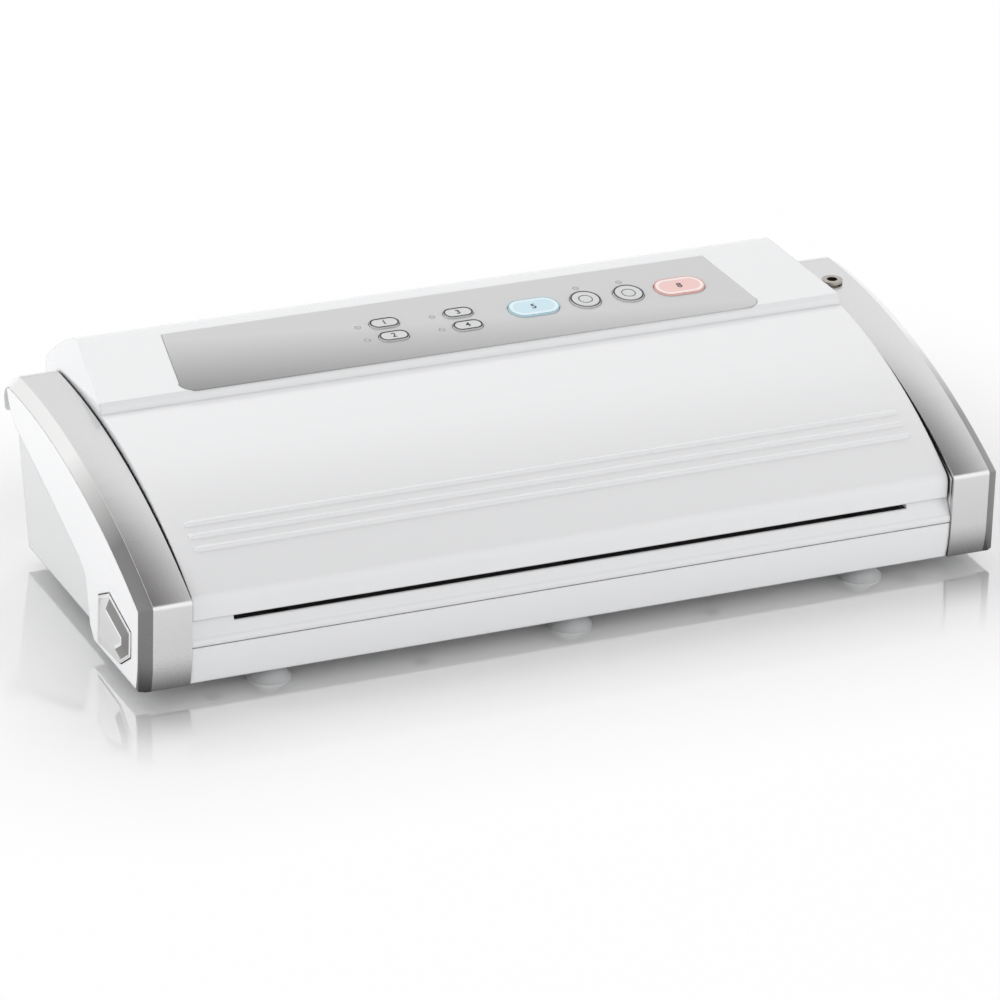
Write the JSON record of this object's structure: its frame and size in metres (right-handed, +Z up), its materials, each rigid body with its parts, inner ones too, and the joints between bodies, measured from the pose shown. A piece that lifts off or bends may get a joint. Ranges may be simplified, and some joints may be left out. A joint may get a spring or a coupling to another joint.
{
  "type": "vacuum sealer",
  "caption": "Countertop vacuum sealer: white rear-hinged lid with a raised control panel, between two silver arched end towers with release buttons.",
  "frame": {"origin": "middle of the bounding box's underside, on the surface that the feet stand on", "axes": "+X to the right as the user faces the front, +Y to the rear, +Z up; the bag slot faces -Y"},
  "size_m": [0.424, 0.188, 0.0986],
  "materials": {
    "white_plastic": "glossy white moulding",
    "silver_trim": "silver lacquered moulding",
    "button_silver": "silver lacquered moulding",
    "port_metal": "polished",
    "gasket_foam": "matt closed-cell foam",
    "silicone_red": "matt silicone",
    "bar_grey": "matt",
    "contact_brass": "bright",
    "tape_brown": "woven non-stick tape",
    "hose_clear": "clear silicone",
    "foot_clear": "clear soft plastic",
    "dark_plastic": "matt",
    "motor_steel": "dull",
    "board_green": "lacquered board",
    "plain_steel": "plain",
    "overlay_silver": "satin printed film",
    "light_grey": "clear lens",
    "key_silver": "satin",
    "key_blue": "satin",
    "key_pink": "satin"
  },
  "bodies": {
    "base": {"base_tray": "white_plastic", "deck": "white_plastic", "pump_cover": "white_plastic", "rear_panel": "white_plastic", "left_trim": "silver_trim", "right_trim": "silver_trim", "left_end_cover": "white_plastic", "right_end_cover": "white_plastic", "sealing_bar": "bar_grey", "heating_strip": "contact_brass", "release_tape": "tape_brown", "lower_gasket": "gasket_foam", "chamber_nozzle": "dark_plastic", "chamber_hose": "hose_clear", "pump_head": "dark_plastic", "pump_motor": "motor_steel", "solenoid_valve": "dark_plastic", "port_hose": "hose_clear", "accessory_port": "port_metal", "transformer": "motor_steel", "power_board": "board_green", "micro_switches": "dark_plastic", "mains_inlet": "dark_plastic", "inlet_pins": "contact_brass", "left_hinge_pin": "plain_steel", "right_hinge_pin": "plain_steel", "front_left_foot": "foot_clear", "front_middle_foot": "foot_clear", "front_right_foot": "foot_clear", "rear_left_foot": "foot_clear", "rear_middle_foot": "foot_clear", "rear_right_foot": "foot_clear", "base_screws": "plain_steel", "left_button_spring": "plain_steel", "right_button_spring": "plain_steel"},
    "lid": {"lid_shell": "white_plastic", "lid_liner": "white_plastic", "upper_gasket": "gasket_foam", "pressure_strip": "silicone_red", "control_overlay": "overlay_silver", "control_board": "board_green", "key_switches": "dark_plastic", "indicator_lights": "light_grey", "lid_screws": "plain_steel", "left_striker": "white_plastic", "right_striker": "white_plastic"},
    "key_slow_body": {"key_slow": "key_silver"},
    "key_normal_body": {"key_normal": "key_silver"},
    "key_dry_body": {"key_dry": "key_silver"},
    "key_humid_body": {"key_humid": "key_silver"},
    "key_vacuum_seal_body": {"key_vacuum_seal": "key_blue"},
    "key_pulse_body": {"key_pulse": "key_silver"},
    "key_marinate_body": {"key_marinate": "key_silver"},
    "key_manual_seal_body": {"key_manual_seal": "key_pink"},
    "left_button": {"left_release_button": "button_silver"},
    "left_latch_slide": {"left_latch": "dark_plastic"},
    "right_button": {"right_release_button": "button_silver"},
    "right_latch_slide": {"right_latch": "dark_plastic"}
  },
  "joints": [
    {"name": "lid_hinge", "type": "hinge", "parent": "base", "child": "lid", "pos_m": [0, 0.07, 0.064], "axis": [-1, 0, 0], "range_deg": [0, 55]},
    {"name": "key_slow_press", "type": "slide", "parent": "lid", "child": "key_slow_body", "axis": [0, 0.1357, -0.9907], "range_m": [0, 0.0006], "stiffness_N_per_m": 400, "springref_m": -0.0003},
    {"name": "key_normal_press", "type": "slide", "parent": "lid", "child": "key_normal_body", "axis": [0, 0.1357, -0.9907], "range_m": [0, 0.0006], "stiffness_N_per_m": 400, "springref_m": -0.0003},
    {"name": "key_dry_press", "type": "slide", "parent": "lid", "child": "key_dry_body", "axis": [0, 0.1357, -0.9907], "range_m": [0, 0.0006], "stiffness_N_per_m": 400, "springref_m": -0.0003},
    {"name": "key_humid_press", "type": "slide", "parent": "lid", "child": "key_humid_body", "axis": [0, 0.1357, -0.9907], "range_m": [0, 0.0006], "stiffness_N_per_m": 400, "springref_m": -0.0003},
    {"name": "key_vacuum_seal_press", "type": "slide", "parent": "lid", "child": "key_vacuum_seal_body", "axis": [0, 0.1357, -0.9907], "range_m": [0, 0.0006], "stiffness_N_per_m": 400, "springref_m": -0.0003},
    {"name": "key_pulse_press", "type": "slide", "parent": "lid", "child": "key_pulse_body", "axis": [0, 0.1357, -0.9907], "range_m": [0, 0.0006], "stiffness_N_per_m": 400, "springref_m": -0.0003},
    {"name": "key_marinate_press", "type": "slide", "parent": "lid", "child": "key_marinate_body", "axis": [0, 0.1357, -0.9907], "range_m": [0, 0.0006], "stiffness_N_per_m": 400, "springref_m": -0.0003},
    {"name": "key_manual_seal_press", "type": "slide", "parent": "lid", "child": "key_manual_seal_body", "axis": [0, 0.1357, -0.9907], "range_m": [0, 0.0006], "stiffness_N_per_m": 400, "springref_m": -0.0003},
    {"name": "left_release", "type": "slide", "parent": "base", "child": "left_button", "axis": [1, 0, 0], "range_m": [0, 0.003], "stiffness_N_per_m": 600, "springref_m": -0.001, "deforming": ["left_button_spring"]},
    {"name": "left_latch_travel", "type": "slide", "parent": "base", "child": "left_latch_slide", "axis": [1, 0, 0], "range_m": [0, 0.003]},
    {"name": "right_release", "type": "slide", "parent": "base", "child": "right_button", "axis": [-1, 0, 0], "range_m": [0, 0.003], "stiffness_N_per_m": 600, "springref_m": -0.001, "deforming": ["right_button_spring"]},
    {"name": "right_latch_travel", "type": "slide", "parent": "base", "child": "right_latch_slide", "axis": [-1, 0, 0], "range_m": [0, 0.003]}
  ],
  "couplings": [
    {"joint": "left_latch_travel", "follows": "left_release", "ratio": 1},
    {"joint": "right_latch_travel", "follows": "right_release", "ratio": 1}
  ]
}
